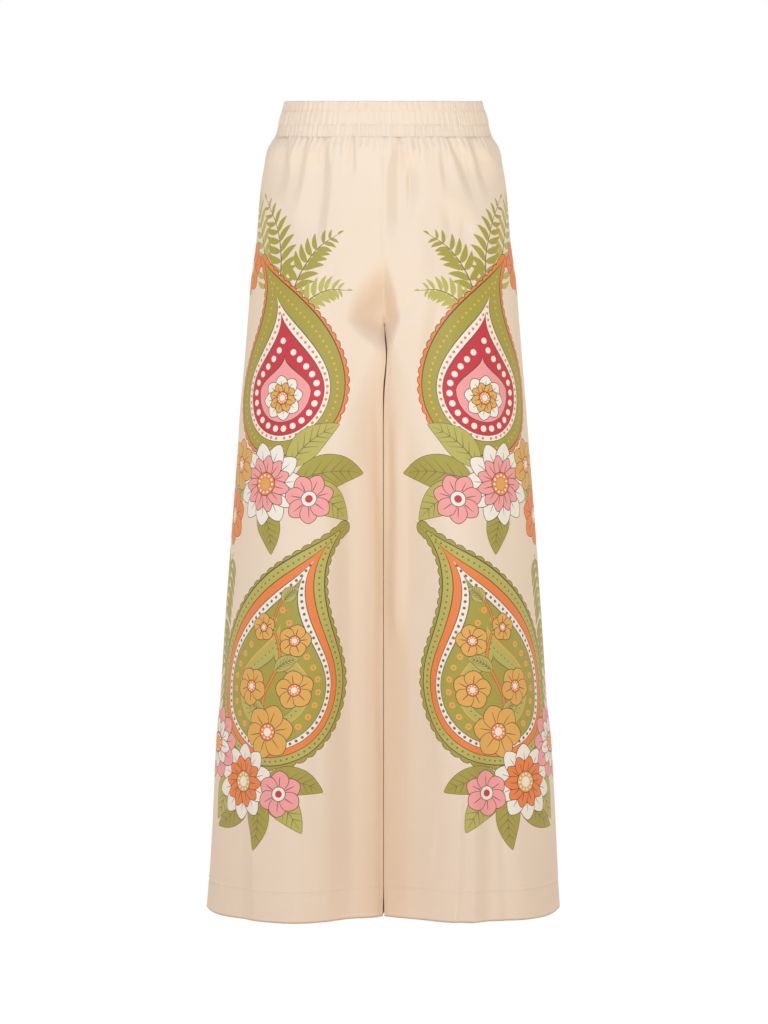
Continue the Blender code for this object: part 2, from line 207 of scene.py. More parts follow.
# Folds, in millimetres: x and height where each starts and ends, how far its middle
# bows sideways, its width and its depth (a ridge stands out, a trough is negative);
# and its lean, below 0 where the wall on the side of the centre is the narrower and
# steeper. x is from the centre seam, and the wearer's left is positive.
front_folds = (
    # tucks and falls under the waistband, wearer's left
    (83.5, -23.5, 125, -125, 4, 22, -14, -0.5),
    (112, -23.5, 145, -120, 3, 20, -17.8, -0.46),
    (132, -23.5, 150, -70, 2, 11, -3.6, -0.4),
    (74, -34, 84.5, -102, 0, 11, -6, -0.45),
    (62, -23.5, 70, -42, 0, 6, -2.2, -0.3),
    (55, -23.5, 60, -43, 0, 5.2, -2.4, -0.3),
    (38, -23.5, 41.5, -46, 0, 5, -2.4, -0.3),
    (36.2, -40, 35.2, -135, -1, 11, -9, -0.5),
    (20, -23.5, 27.5, -38, 0, 4.8, -2.4, -0.3),
    (81, -100, 89, -188, 3, 20, -7, -0.4),
    (129, -113, 129, -190, 0, 19, 5, 0),
    (108, -118, 105, -178, -2, 10, -3.6, -0.3),
    (48, -145, 50, -225, 0, 17, 3.2, 0),
    # and wearer's right
    (-127, -23.5, -145, -116, 2, 23, -19.4, -0.46),
    (-98, -24, -122, -128, -2, 18, -11.2, -0.48),
    (-76, -23.5, -90, -180, 2, 23, -14.4, -0.5),
    (-140, -105, -115, -172, 0, 17, -4.8, -0.3),
    (-38.5, -23.5, -40.5, -82, 0, 11, -6.2, -0.45),
    (-28, -23.5, -31, -40, 0, 4.4, -2, -0.2),
    (-19, -23.5, -23, -37, 0, 4.4, -2, -0.2),
    (-87, -23.5, -96, -45, 0, 5, -2, -0.2),
    (-132, -23.5, -140, -60, 0, 6, -2, -0.2),
    (-54, -23.5, -59, -38, 0, 4.4, -1.6, -0.2),
    # beside the centre seam, and the drag into the crotch
    (20, -23, 19, -170, 0, 20, -14.2, -0.2),
    (-40, -215, -56, -290, 0, 18, 3.4, 0),
    (38, -225, 6, -276, 0, 18, -5, -0.1),
    (78, -205, 52, -340, 0, 20, -7.6, -0.3),
    (-64, -185, -72, -250, -3, 10, -3.4, -0.3),
    (-30, -300, -46, -370, 0, 12, -3, -0.2),
    # long folds down the wearer's right leg
    (-186, -760, -187, -1120, 1, 24, -15, -0.35),
    (-118, -560, -112, -1120, 0, 42, 3.4, 0),
    (-44, -420, -43, -1120, 0, 26, -16, -0.15),
    (-14, -360, -10, -1120, 0, 10, 2, 0),
    (-64, -400, -62, -640, 0, 17, 3.6, 0),
    (-88, -780, -90, -940, 0, 12, -2.2, -0.2),
    (-202, -740, -208, -1140, 0, 31, 5, 0),
    # long folds down the wearer's left leg
    (202, -740, 208, -1140, 0, 31, 5, 0),
    (18, -360, 19, -700, 0, 13, 7, 0),
    (32, -400, 34, -660, 0, 15, -6.6, -0.3),
    (52, -420, 48, -1120, 0, 24, -4.6, -0.2),
    (120, -500, 90, -900, 0, 36, 3, 0),
    (142, -760, 140, -1120, 0, 29, -20, -0.15),
    (109, -830, 98, -1110, 2, 12, -7, -0.3),
    (154, -860, 166, -1110, 0, 13, -6, -0.3),
    (57, -700, 54, -790, 0, 9, -2.2, -0.2),
    (74, -890, 66, -1010, 0, 9, -2, -0.2),
    (156, -180, 164, -600, 0, 11, -2.6, -0.2),
)
back_folds = (
    (76, -23.5, 92, -140, 0, 19, -6.6, -0.45),
    (52, -23.5, 64, -120, 2, 14, -5, -0.45),
    (24, -24, 30, -110, 0, 13, -4, -0.4),
    (38, -23.5, 44, -60, 0, 6, -2.6, -0.3),
    (108, -23.5, 134, -135, 3, 19, -7.2, -0.5),
    (130, -23.5, 148, -80, 0, 10, -3.6, -0.4),
    (-98, -23.5, -125, -150, -2, 20, -7.4, -0.5),
    (-70, -23.5, -86, -135, 0, 16, -5.6, -0.45),
    (-48, -24, -56, -160, 0, 13, -4.6, -0.45),
    (-30, -23.5, -34, -70, 0, 7, -2.8, -0.3),
    (-124, -23.5, -142, -100, 0, 13, -5, -0.45),
    (-12, -35, -10, -250, 0, 13, -3.6, -0.3),
    (86, -235, 8, -295, 0, 24, -7.6, -0.1),
    (-76, -225, -8, -295, 0, 24, -7, -0.1),
    (64, -300, 42, -440, 0, 18, -4.6, -0.3),
    (-102, -160, -108, -420, 0, 22, -4.6, -0.3),
    (185, -640, 188, -1120, 0, 22, -8, -0.35),
    (118, -480, 120, -1120, 0, 40, 3.8, 0),
    (48, -450, 45, -1120, 0, 24, -7, -0.25),
    (-170, -760, -182, -1120, 0, 22, -8, -0.35),
    (-130, -430, -126, -1120, 0, 40, 3.4, 0),
    (-85, -700, -74, -1120, 0, 18, -5.6, -0.3),
    (-42, -500, -40, -1120, 0, 22, -6.4, -0.25),
    (86, -820, 80, -1120, 0, 14, -4.4, -0.3),
)
broad_fold = 0.030
crease_softness = 0.30


def fold_shape(away):
    """A crease with two straight walls, 1 at its bottom, its corners softly rounded."""
    rise = 1 - np.sqrt(away * away + crease_softness**2)
    return (rise + np.sqrt(rise * rise + crease_softness**2 / 4)) / 2


def soft_waves(x, z, seed):
    """Slow uneven swelling of the cloth, longer down the leg than across it."""
    total = np.zeros_like(x)
    luck = random.Random(seed)
    for _ in range(14):
        across = luck.uniform(0.035, 0.120)
        down = luck.uniform(0.18, 0.60)
        lean = luck.uniform(-0.12, 0.12)
        phase = luck.uniform(0, 2 * math.pi)
        wave = np.sin((x + lean * z) / across * 2 * math.pi + z / down * 2 * math.pi + phase)
        total += wave * across / 0.120
    return total / 3.2


def folds_out(x, z, folds):
    """How far these folds push the cloth out, or draw it in, at each point."""
    out = np.zeros_like(x)
    for fold in folds:
        top_x, top_z, foot_x, foot_z, bow, width, depth = (size / 1000 for size in fold[:-1])
        lean = fold[-1]
        long = top_z - foot_z
        down = np.clip((top_z - z) / long, 0, 1)
        middle = top_x + (foot_x - top_x) * down + bow * np.sin(math.pi * down)
        gone = down * long
        if top_z > waist_seam - 0.005:
            # from under the waistband it starts at once, and narrow
            starts = 0.25 + 0.75 * eased(gone / min(0.035, 0.6 * long))
            spread = width * (0.40 + 0.60 * eased(gone / 0.060))
        else:
            starts = eased(gone / min(0.080, 0.40 * long))
            spread = width
        away = (x - middle) / spread
        away = away / np.where(away * top_x > 0, 1 - lean, 1 + lean)
        ends = eased((1 - down) * long / min(0.060, 0.55 * long))
        shape = np.exp(-away * away) if width > broad_fold else fold_shape(away)
        out += depth * shape * starts * ends
    return out


waves_high = 0.0011
gathers_high = 0.0016
seam_deep = 0.0010
seam_wide = 0.0022
stitching_height = hem + hem_turned_up - 0.002
stitching_deep = 0.0006
puckers_high = 0.00035


def cloth_out(x, z, reach, length, side, back):
    """How far the cloth stands out from its plain form at each point."""
    out = folds_out(side * x, z, back_folds if back else front_folds)
    out += waves_high * soft_waves(side * x, z, 11 + back) * eased((waist_seam - z) / 0.15)
    # flat at the side seam, and towards the edges that face each other between the legs
    out *= eased(reach / 0.022)
    fork = back_fork if back else front_fork
    wall = np.where(z < fork, length - outline_length(z, back, edge=False), 0.0)
    below = eased((fork - z) / (fork - crotch))
    out *= 1 - below * (1 - eased((length - wall - reach) / 0.012))
    share = reach / length
    way = share if not back else 2 - share
    wave, k = gather_wave(way if side > 0 else 4 - way)
    fade = np.exp(-((np.maximum(waist_seam - z, 0) / gather_long[k]) ** 1.6))
    full = gathers_high * gather_deep[k] * (0.55 + 0.45 * eased((waist_seam - z) / 0.008))
    out += np.where(z > -0.14, full * wave * fade, 0)
    # each seam draws the cloth in along a narrow line, with small puckers
    to_seam = np.minimum(reach, length - reach)
    pucker = 0.6 + 0.4 * np.sin(z / 0.0085 + 3 * np.sin(z / 0.043))
    out -= seam_deep * hump(to_seam, seam_wide) * pucker
    # and so does the row of stitches round the hem
    to_row = z - stitching_height
    ripple = np.sin(reach / 0.0048 + 2.2 * np.sin(reach / 0.031 + side))
    out -= stitching_deep * hump(to_row, 0.0018)
    out += puckers_high * ripple * hump(to_row, 0.011)
    return out


hollow_deep = 0.036
hollow_tall = 0.076
hollow_foot = 0.047
hollow_right = 0.048
hollow_left = 0.021


def fork_hollow(x, z):
    """How deep the fork draws the cloth in: a soft diamond, wider on the wearer's right."""
    wide = np.where(x < 0, hollow_right, hollow_left)
    tall = np.where(z > front_fork, hollow_tall, hollow_foot)
    aside = ((x / wide) ** 2 + 0.01) ** 0.62
    apart = (((z - front_fork) / tall) ** 2 + 0.01) ** 0.62
    return hollow_deep * eased(1.12 - (aside + apart) ** 0.8)


fork_slot = 0.0007
leg_nestle = 0.0040
near_edge = 0.022
hem_corner_rise = 0.0075
hem_corner_wide = 0.042


def cloth_place(reach, down, side, back):
    """Where the cloth is: reach is from the side seam, down is the height along it."""
    places = []
    at_once = 6000
    for start in range(0, len(reach), at_once):
        r = reach[start : start + at_once]
        v = down[start : start + at_once]
        folded = np.maximum(hem - v, 0)
        z = np.where(v < hem, 2 * hem - v, v)
        outline = panel_outline(z, back)
        length = np.linalg.norm(np.diff(outline, axis=1), axis=2).sum(1)
        r = np.minimum(r, length)
        at, run = along_cloth(outline, r, length, 0.0015)
        out = cloth_out(at[:, 0], z, r, length, side, back)
        out -= 0.0011 * eased(folded / 0.0016)
        # troughs go straight back, so they keep their width towards the sides
        across = np.where(out < 0, 0.25, 1.0) * eased((at[:, 0] - leg_parting(z)) / 0.006)
        x = at[:, 0] + run[:, 1] * out * across
        y = at[:, 1] - run[:, 0] * out
        y = y - (0.5 if back else 1.0) * fork_hollow(side * x, z) * eased(y / 0.060)
        x = np.maximum(x, leg_parting(z))
        y = np.maximum(y, 0)
        # the legs part in a narrow slot from the fork down, closed at the seam
        fork = back_fork if back else front_fork
        slot = eased((fork - 0.003 - z) / 0.012) * (1 - eased((crotch - z) / 0.02))
        off_seam = eased((at[:, 1] - outline[:, -1, 1]) / 0.015)
        x = x + fork_slot * slot * off_seam * np.exp(-x / 0.004)
        # the two legs rest against each other in one shallow curve, with no slit
        near = hump(x, near_edge)
        beside = eased((crotch + 0.030 - z) / 0.045) * near
        x = side * x + leg_nestle * beside * hump(y, 0.034)
        x = x + leg_nestle * near * hump(z - crotch + 0.006, 0.034)
        # the hem rises a little at the side seam
        low = eased((hem + 0.06 - z) / 0.06)
        z = z + hem_corner_rise * hump(r, hem_corner_wide) * low
        places.append(np.stack([x, y if back else -y, z], 1))
    return np.concatenate(places)


# The silk's inks, and a soft lustre that follows its fine twill.
ink_colours = {
    "cream": (0.813, 0.690, 0.584),
    "olive": (0.372, 0.330, 0.046),
    "light_olive": (0.470, 0.440, 0.100),
    "orange": (0.830, 0.215, 0.045),
    "gold": (0.740, 0.400, 0.085),
    "taupe": (0.200, 0.140, 0.080),
    "brown": (0.090, 0.050, 0.030),
    "red": (0.560, 0.022, 0.045),
    "pink": (0.870, 0.350, 0.370),
    "chalk": (0.860, 0.830, 0.790),
}
inks = list(ink_colours)
# painted shade: the warm, darker tint the silk is multiplied by where shade falls between the legs,
# in the hollow at the fork and in the slot where the legs part
painted_shade_tint = (1.0, 0.940, 0.865)


def set_sockets(tree, node, sockets):
    """Links each of these sockets of a node, or sets it to a value."""
    for name, value in sockets.items():
        if isinstance(value, bpy.types.NodeSocket):
            tree.links.new(value, node.inputs[name])
        else:
            node.inputs[name].default_value = value


def add_node(tree, kind, sockets, **settings):
    """A new shader node with these settings and sockets."""
    node = tree.nodes.new("ShaderNode" + kind)
    for name, value in settings.items():
        setattr(node, name, value)
    set_sockets(tree, node, sockets)
    return node


def mixed(tree, share, a, b):
    """The colour this share of the way from a to b."""
    node = add_node(tree, "Mix", {"Factor": share, "A": a, "B": b}, data_type="RGBA")
    return node.outputs["Result"]


def silk(name, colour):
    """Thin printed silk: fine twill lines, slight slubs and a soft uneven lustre."""
    material = bpy.data.materials.new(name)
    material.use_nodes = True
    tree = material.node_tree
    cloth = add_node(tree, "UVMap", {}, uv_map="cloth").outputs["UV"]
    slub = add_node(tree, "Mapping", {"Vector": cloth, "Scale": (900.0, 90.0, 1.0)})
    slub = slub.outputs["Vector"]
    thread = add_node(tree, "TexNoise", {"Vector": slub, "Scale": 1.0, "Detail": 3.0})
    thread = thread.outputs["Fac"]
    patch = add_node(tree, "TexNoise", {"Vector": cloth, "Scale": 9.0, "Detail": 2.0})
    patch = patch.outputs["Fac"]
    uneven = add_node(tree, "Math", {0: thread, 1: patch}, operation="MULTIPLY")
    shade = (*(c * 0.93 for c in colour), 1)
    tint = mixed(tree, uneven.outputs["Value"], (*colour, 1), shade)
    # painted shade: the cloth is darkened and warmed as far as the panel's painted-shade attribute
    # says
    painted_shade_between_legs = add_node(tree, "Attribute", {}, attribute_name="painted_shade_between_legs")
    painted_shade_mix = add_node(
        tree,
        "Mix",
        {"Factor": painted_shade_between_legs.outputs["Fac"], "A": tint, "B": (*painted_shade_tint, 1)},
        data_type="RGBA",
        blend_type="MULTIPLY",
        clamp_factor=False,
    )
    rough = add_node(tree, "MapRange", {"Value": patch, "To Min": 0.40, "To Max": 0.56})
    twill = add_node(
        tree,
        "TexWave",
        {"Vector": cloth, "Scale": 420.0, "Distortion": 0.6},
        bands_direction="DIAGONAL",
    )
    weave = add_node(tree, "Math", {0: twill.outputs["Fac"], 1: thread}, operation="ADD")
    bump = add_node(
        tree, "Bump", {"Strength": 0.22, "Distance": 0.0001, "Height": weave.outputs["Value"]}
    )
    set_sockets(
        tree,
        tree.nodes["Principled BSDF"],
        {
            "Base Color": painted_shade_mix.outputs["Result"],
            "Roughness": rough.outputs["Result"],
            "Normal": bump.outputs["Normal"],
            "Metallic": 0.0,
            "Sheen Weight": 0.06,
            "Sheen Roughness": 0.35,
            "Specular IOR Level": 0.70,
        },
    )
    return material


printed_silk = [silk("silk_" + ink, ink_colours[ink]) for ink in inks]


# The print, the same on every panel and mirrored from leg to leg: paisleys, open
# blossoms, ferns and veined leaves on the cream ground. Places are (from the side
# seam, height), and each shape is an ink and its outline, the later ones on top.
def moved(points, a, z, turn):
    """These points turned about (0, 0) and then set down at (a, z)."""
    cos = math.cos(turn)
    sin = math.sin(turn)
    return [(a + u * cos - v * sin, z + u * sin + v * cos) for u, v in points]


def disc(a, z, wide, steps=28):
    """A round spot this far across from its middle at (a, z)."""
    ring = []
    for i in range(steps):
        angle = 2 * math.pi * i / steps
        ring.append((a + wide * math.cos(angle), z + wide * math.sin(angle)))
    return ring


def curve_through(points, steps=10):
    """A smooth line through these points."""
    line = []
    for i in range(len(points) - 1):
        p = [points[max(i - 1, 0)], points[i], points[i + 1], points[min(i + 2, len(points) - 1)]]
        for k in range(steps):
            t = k / steps
            spot = []
            for axis in (0, 1):
                a, b, c, d = (q[axis] for q in p)
                bend = 2 * a - 5 * b + 4 * c - d
                swing = 3 * b - a - 3 * c + d
                spot.append(0.5 * (2 * b + (c - a) * t + bend * t**2 + swing * t**3))
            line.append(tuple(spot))
    line.append(tuple(points[-1]))
    return line


def band(line, widths):
    """The outline of a line drawn this wide, a width for each of its points."""
    left = []
    right = []
    for i, (a, z) in enumerate(line):
        ahead = line[min(i + 1, len(line) - 1)]
        behind = line[max(i - 1, 0)]
        run = math.hypot(ahead[0] - behind[0], ahead[1] - behind[1]) or 1e-9
        across = ((behind[1] - ahead[1]) / run, (ahead[0] - behind[0]) / run)
        half = widths[i] / 2
        left.append((a + across[0] * half, z + across[1] * half))
        right.append((a - across[0] * half, z - across[1] * half))
    return left + right[::-1]


def stem(points, thick, thin, ink):
    """A tapering stem with a fine dark line down both its sides."""
    line = curve_through(points)
    last = len(line) - 1
    widths = [thick + (thin - thick) * i / last for i in range(last + 1)]
    return [("brown", band(line, [w + 0.0011 for w in widths])), (ink, band(line, widths))]


def leaf(a, z, turn, length, width, ink):
    """A pointed leaf with a midrib and side veins, growing from (a, z)."""
    bend = 0.18
    spine = []
    for i in range(25):
        t = i / 24
        spine.append((length * t, bend * length * math.sin(math.pi * t) * 0.5))
    spine = moved(spine, a, z, turn)
    widths = [width * math.sin(math.pi * (i / 24) ** 0.8) ** 0.9 + 0.0004 for i in range(25)]
    shapes = [("brown", band(spine, [w + 0.0013 for w in widths])), (ink, band(spine, widths))]
    shapes.append(("taupe", band(spine[1:-2], [0.0016 * (1 - i / 30) for i in range(22)])))
    for i in range(3, 20, 3):
        x, y = spine[i]
        along = math.atan2(spine[i + 1][1] - y, spine[i + 1][0] - x)
        for angle in (along + 0.75, along - 0.75):
            line = []
            for k in range(6):
                gone = widths[i] * 0.52 * k / 5
                line.append((x + gone * math.cos(angle), y + gone * math.sin(angle)))
            vein = band(line, [0.0011 * (1 - k / 6) + 0.0002 for k in range(6)])
            shapes.append(("taupe", vein))
    return shapes


def leaflet(a, z, turn, long, wide):
    """One slim leaflet of a fern, growing from (a, z)."""
    spine = []
    widths = []
    for i in range(10):
        spine.append((long * i / 9, 0.10 * long * math.sin(math.pi * i / 9)))
        widths.append(wide * math.sin(math.pi * (i / 9) ** 0.75) ** 0.8 + 0.0002)
    return band(moved(spine, a, z, turn), widths)


def frond(points, width, pairs, ink):
    """A fern frond: slim leaflets in pairs along a curved rib, smaller to its tip."""
    shapes = []
    line = curve_through(points, 12)
    last = len(line) - 1
    for n in range(pairs):
        t = 0.06 + 0.90 * n / pairs
        i = int(t * last)
        base = line[i]
        ahead = line[min(i + 1, last)]
        along = math.atan2(ahead[1] - base[1], ahead[0] - base[0])
        long = width * math.sin(math.pi * (0.12 + 0.84 * t) ** 0.75) ** 0.8
        for turn in (along + 0.95, along - 0.95):
            shapes.append((ink, leaflet(*base, turn, long, long * 0.30)))
    shapes.append((ink, leaflet(*line[-1], along, width * 0.3, width * 0.1)))
    widths = [0.0022 * (1 - 0.7 * i / last) for i in range(last + 1)]
    return shapes + [("taupe", band(line, widths))]


def petal_ring(a, z, reach, count, wide, ink, turn):
    """Rounded petals set round (a, z), each with a fine dark outline and a vein."""
    shapes = []
    for k in range(count):
        angle = turn + 2 * math.pi * k / count
        for grow, shade in ((0.0009, "brown"), (0.0, ink)):
            spine = []
            widths = []
            for i in range(14):
                t = (1 - math.cos(math.pi * i / 13)) / 2
                spine.append((-grow + (reach + 2 * grow) * t, 0.0))
                widths.append((wide + 2 * grow) * math.sin(math.pi * t**1.35) ** 0.62)
            shapes.append((shade, band(moved(spine, a, z, angle), widths)))
        vein = moved([(reach * r, 0.0) for r in (0.35, 0.52, 0.66, 0.78)], a, z, angle)
        shapes.append(("brown", band(vein, [0.0012, 0.0010, 0.0008, 0.0003])))
    return shapes


def heart(a, z, size, ink, eye, count=9):
    """The round middle of a flower, with a ring of dots."""
    shapes = [("brown", disc(a, z, size + 0.0010)), (ink, disc(a, z, size))]
    shapes.append((eye, disc(a, z, size * 0.52)))
    for k in range(count):
        angle = 2 * math.pi * k / count
        spot = (a + 0.76 * size * math.cos(angle), z + 0.76 * size * math.sin(angle))
        shapes.append(("chalk", disc(*spot, 0.12 * size, steps=8)))
    return shapes


def blossom(a, z, size, petals, turn, petal, middle, eye):
    """An open flower of rounded petals round a dotted heart."""
    wide = 2.05 * size * math.sin(math.pi / petals) * 0.80
    ring = petal_ring(a, z, size, petals, wide, petal, turn)
    return ring + heart(a, z, 0.30 * size, middle, eye)


def rosette(a, z, size, petals, outer, inner, turn, middle="orange", eye="gold"):
    """A full flower: one ring of petals behind another, round a dotted heart."""
    wide = 2.0 * size * math.sin(math.pi / petals) * 0.86
    shapes = petal_ring(a, z, size, petals, wide, outer, turn)
    shapes += petal_ring(a, z, 0.68 * size, petals, 0.62 * wide, inner, turn + math.pi / petals)
    return shapes + heart(a, z, 0.27 * size, middle, eye, count=11)


def drop_outline(a, z, length, width, turn, curl, inset):
    """A drop with a curled tip: (a, z) is the middle of its round end."""
    body = width / 2 - inset
    tip = length - inset * 3.4
    marks = [width / 2 - body * math.cos(math.pi / 2 * i / 12) for i in range(12)]
    marks += [width / 2 + (tip - width / 2) * i / 40 for i in range(41)]
    left = []
    right = []
    x, y, gone = -width / 2, 0.0, 0.0
    for mark in marks:
        while gone < mark:
            step = min(0.004, mark - gone)
            gone += step
            angle = curl * max(0.0, (gone / length - 0.30) / 0.70) ** 1.5
            x += step * math.cos(angle)
            y += step * math.sin(angle)
        angle = curl * max(0.0, (gone / length - 0.30) / 0.70) ** 1.5
        if mark < width / 2:
            half = math.sqrt(max(0.0, body**2 - (width / 2 - mark) ** 2))
        else:
            half = body * (0.5 + 0.5 * math.cos(math.pi * (mark - width / 2) / (tip - width / 2)))
        left.append((x - half * math.sin(angle), y + half * math.cos(angle)))
        right.append((x + half * math.sin(angle), y - half * math.cos(angle)))
    return moved(left + right[-2:0:-1], a, z, turn)


def dots_along(points, spacing, size, ink, apart=0.0):
    """A row of round dots along a line, none of them touching."""
    spots = []
    gone = spacing / 2
    for p, q in zip(points, points[1:]):
        run = math.dist(p, q)
        while gone < run:
            t = gone / run
            spot = (p[0] + (q[0] - p[0]) * t, p[1] + (q[1] - p[1]) * t)
            if all(math.dist(spot, other) > apart for other in spots):
                spots.append(spot)
            gone += spacing
        gone -= run
    return [(ink, disc(*spot, size, steps=12)) for spot in spots]


def scallops(points, spacing, size, ink):
    """Rounded scallops round an outline, each with a fine dark edge."""
    ring = points + points[:1]
    edges = dots_along(ring, spacing, size + 0.0009, "brown")
    return edges + dots_along(ring, spacing, size, ink)


def paisley(a, z, length, width, turn, curl, layers, dots):
    """Nested drops: layers are (inset, ink), dots (inset, spacing, size, ink)."""
    shapes = []
    for inset, ink in layers:
        shapes.append((ink, drop_outline(a, z, length, width, turn, curl, inset)))
    for inset, spacing, size, ink in dots:
        ring = drop_outline(a, z, length, width, turn, curl, inset)
        shapes += dots_along(ring + ring[:1], spacing, size, ink, 2.6 * size)
    return shapes


def print_shapes():
    """All the print's shapes on one panel, from the hip down."""
    shapes = []
    # ferns and a small flower over the hip, behind the upper paisley's tip
    hip_ribs = (
        ((0.072, -0.225), (0.052, -0.170), (0.024, -0.120), (-0.010, -0.095)),
        ((0.096, -0.240), (0.092, -0.190), (0.074, -0.140), (0.044, -0.104)),
        ((0.112, -0.250), (0.122, -0.206), (0.140, -0.170), (0.166, -0.150)),
        ((0.116, -0.262), (0.140, -0.236), (0.164, -0.222), (0.190, -0.222)),
    )
    hip_ferns = (
        (0.030, 11, "light_olive"),
        (0.030, 11, "olive"),
        (0.030, 10, "olive"),
        (0.026, 9, "light_olive"),
    )
    for rib, fern in zip(hip_ribs, hip_ferns):
        shapes += frond(rib, *fern)
    shapes += blossom(0.014, -0.196, 0.036, 7, 0.2, "orange", "gold", "chalk")
    # the upper paisley, its tip curled back to the side seam
    upper = (0.120, -0.354, 0.282, 0.168, 1.60, 0.90)
    shapes += scallops(drop_outline(*upper, 0.003), 0.0122, 0.0080, "orange")
    upper_bands = (
        (0.0, "brown"),
        (0.0012, "olive"),
        (0.0190, "brown"),
        (0.0198, "chalk"),
        (0.0268, "brown"),
        (0.0276, "red"),
        (0.0440, "brown"),
        (0.0448, "pink"),
    )
    upper_dots = (
        (0.0100, 0.0085, 0.0016, "gold"),
        (0.0233, 0.0085, 0.0020, "orange"),
        (0.0358, 0.0135, 0.0042, "chalk"),
    )
    shapes += paisley(*upper, upper_bands, upper_dots)
    shapes += rosette(0.120, -0.362, 0.029, 8, "chalk", "gold", 0.2, "orange", "chalk")
    # a wreath of flowers and leaves between the two
    for a, z, turn, long, wide, ink in (
        (0.150, -0.470, 0.10, 0.096, 0.046, "olive"),
        (0.150, -0.478, -0.50, 0.090, 0.042, "light_olive"),
        (0.140, -0.452, 0.75, 0.084, 0.038, "light_olive"),
        (0.060, -0.470, 2.75, 0.080, 0.038, "olive"),
        (0.060, -0.480, 3.50, 0.080, 0.038, "light_olive"),
        (0.100, -0.500, -1.20, 0.070, 0.036, "olive"),
    ):
        shapes += leaf(a, z, turn, long, wide, ink)
    shapes += rosette(0.108, -0.474, 0.054, 11, "chalk", "pink", 0.1)
    shapes += blossom(0.172, -0.492, 0.032, 7, 0.3, "pink", "chalk", "red")
    shapes += blossom(0.046, -0.452, 0.034, 7, 0.5, "gold", "orange", "chalk")
    shapes += blossom(0.026, -0.520, 0.038, 7, 0.3, "orange", "gold", "chalk")
    # the great paisley down the lower leg, leaning the other way
    great = (0.138, -0.738, 0.352, 0.206, 1.52, -0.95)
    shapes += scallops(drop_outline(*great, 0.004), 0.0140, 0.0092, "olive")
    great_bands = (
        (0.0, "brown"),
        (0.0012, "light_olive"),
        (0.0110, "brown"),
        (0.0119, "orange"),
        (0.0195, "brown"),
        (0.0203, "chalk"),
        (0.0270, "brown"),
        (0.0278, "olive"),
        (0.0480, "gold"),
        (0.0496, "light_olive"),
        (0.0600, "taupe"),
        (0.0608, "olive"),
    )
    great_dots = (
        (0.0062, 0.0080, 0.0014, "taupe"),
        (0.0236, 0.0085, 0.0020, "taupe"),
        (0.0380, 0.0170, 0.0042, "gold"),
        (0.0380, 0.0170, 0.0018, "orange"),
        (0.0550, 0.0075, 0.0011, "taupe"),
    )
    shapes += paisley(*great, great_bands, great_dots)
    vine = [(0.142, -0.812), (0.128, -0.756), (0.150, -0.700), (0.138, -0.650), (0.158, -0.606)]
    shapes += stem(vine, 0.0042, 0.0020, "orange")
    for a, z, turn, long in (
        (0.132, -0.770, 2.6, 0.036),
        (0.144, -0.716, 0.5, 0.036),
        (0.142, -0.664, 2.6, 0.030),
        (0.150, -0.626, 0.8, 0.026),
    ):
        shapes += leaf(a, z, turn, long, 0.018, "light_olive")
    for a, z, size, petals, turn in (
        (0.138, -0.796, 0.036, 6, 0.2),
        (0.172, -0.740, 0.025, 5, 0.5),
        (0.106, -0.738, 0.025, 5, 0.9),
        (0.168, -0.676, 0.021, 5, 0.1),
        (0.122, -0.660, 0.018, 5, 0.4),
    ):
        shapes += blossom(a, z, size, petals, turn, "gold", "orange", "chalk")
    # ferns down the side seam, and the last spray of flowers
    rib = ((0.034, -0.570), (0.018, -0.640), (0.018, -0.710), (0.034, -0.770))
    shapes += frond(rib, 0.036, 15, "olive")
    rib = ((0.004, -0.560), (-0.006, -0.620), (0.000, -0.690))
    shapes += frond(rib, 0.030, 11, "light_olive")
    for a, z, turn, long, wide, ink in (
        (0.110, -0.868, -2.40, 0.086, 0.040, "olive"),
        (0.130, -0.868, -0.75, 0.086, 0.038, "light_olive"),
        (0.120, -0.872, -1.50, 0.080, 0.036, "olive"),
        (0.140, -0.858, -0.20, 0.080, 0.036, "olive"),
        (0.060, -0.846, -1.80, 0.074, 0.034, "light_olive"),
    ):
        shapes += leaf(a, z, turn, long, wide, ink)
    shapes += rosette(0.098, -0.864, 0.050, 10, "chalk", "orange", 0.3, "gold", "chalk")
    shapes += blossom(0.160, -0.876, 0.030, 6, 0.5, "pink", "chalk", "red")
    shapes += rosette(0.030, -0.818, 0.048, 10, "pink", "chalk", 0.1)
    return shapes


def panel_boundary(back):
    """The outline of the cut panel: down the inner edge, round the hem, up the side."""
    fork = back_fork if back else front_fork
    heights = list(np.arange(waist_seam, fork, -0.006)) + [fork]
    for k in range(1, 25):
        heights.append(fork - (fork - crotch) * math.sin(math.pi / 2 * k / 24))
    heights += list(np.arange(crotch - 0.005, hem, -0.006)) + [hem]
    reach = outline_length(np.array(heights), back)
    points = list(zip(reach, heights))
    for k in range(1, 9):
        points.append((reach[-1], hem - hem_turned_up * k / 8))
    points += [(reach[-1] * (1 - k / 60), hem - hem_turned_up) for k in range(1, 61)]
    up = np.arange(hem - hem_turned_up + 0.006, waist_seam, 0.006)
    points += [(0.0, v) for v in up]
    across = int(reach[0] / 0.0008)
    points += [(reach[0] * k / across, waist_seam) for k in range(across)]
    return points


def panel_rows():
    """Heights of the rows of points: close together in the gathers and at the hem."""
    gaps = (
        (-0.07, 0.0016),
        (-0.20, 0.0028),
        (hem + 0.060, 0.0046),
        (hem + 0.032, 0.0016),
        (hem, 0.004),
    )
    rows = []
    v = waist_seam - 0.0012
    while v > hem + 0.0006:
        rows.append(v)
        v -= next(gap for down_to, gap in gaps if v > down_to)
    for below in (0, 0.0004, 0.0008, 0.0013, 0.002, 0.010, 0.020, 0.030, 0.038):
        rows.append(hem - below)
    return rows


def counterclockwise(outline):
    """The same outline, run the way the cutting needs it."""
    twice_area = sum(p[0] * q[1] - q[0] * p[1] for p, q in zip(outline, outline[1:] + outline[:1]))
    return outline if twice_area > 0 else outline[::-1]


